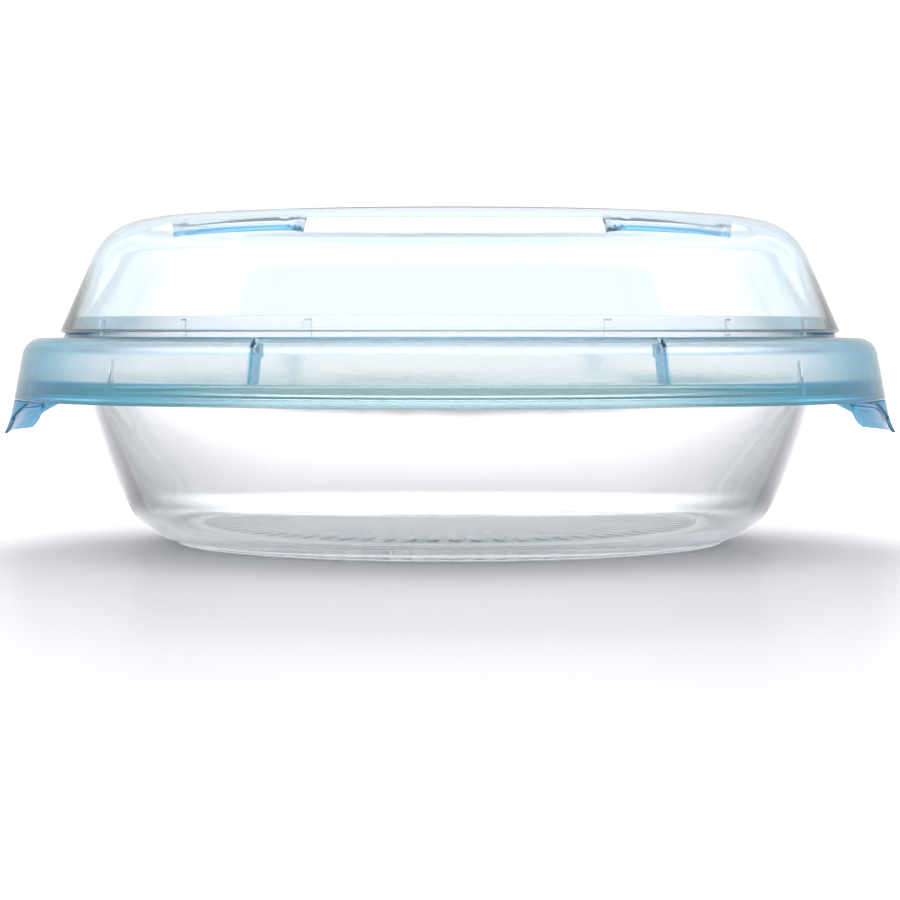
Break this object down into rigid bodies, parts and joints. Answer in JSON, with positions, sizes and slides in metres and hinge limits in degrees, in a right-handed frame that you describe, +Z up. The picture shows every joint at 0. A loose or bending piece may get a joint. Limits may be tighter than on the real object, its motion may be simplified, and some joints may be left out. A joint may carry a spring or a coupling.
{
  "type": "covered casserole dish",
  "caption": "Round clear glass baking dish with a raised, see-through press-on lid and a lifting tab at each side.",
  "frame": {"origin": "centre of the dish's foot, on the surface it stands on", "axes": "+X towards the right tab, +Y towards the back, +Z up along the dish's axis"},
  "size_m": [0.2748, 0.2682, 0.0993],
  "materials": {
    "clear_glass": "polished",
    "clear_plastic": "clear, glossy",
    "blue_plastic": "translucent, satin"
  },
  "bodies": {
    "dish": {"glass_dish": "clear_glass"},
    "lid": {"lid_ring": "blue_plastic", "lid_dome": "clear_plastic"},
    "left_tab": {"left_tab": "blue_plastic"},
    "right_tab": {"right_tab": "blue_plastic"}
  },
  "joints": [
    {"name": "lid_lift", "type": "slide", "parent": "dish", "child": "lid", "axis": [0, 0, 1], "range_m": [0, 0.12]},
    {"name": "left_tab_flex", "type": "hinge", "parent": "lid", "child": "left_tab", "pos_m": [-0.1342, 0, 0.0437], "axis": [0, 1, 0], "range_deg": [0, 12], "stiffness_Nm_per_rad": 0.5},
    {"name": "right_tab_flex", "type": "hinge", "parent": "lid", "child": "right_tab", "pos_m": [0.1342, 0, 0.0437], "axis": [0, -1, 0], "range_deg": [0, 12], "stiffness_Nm_per_rad": 0.5}
  ]
}
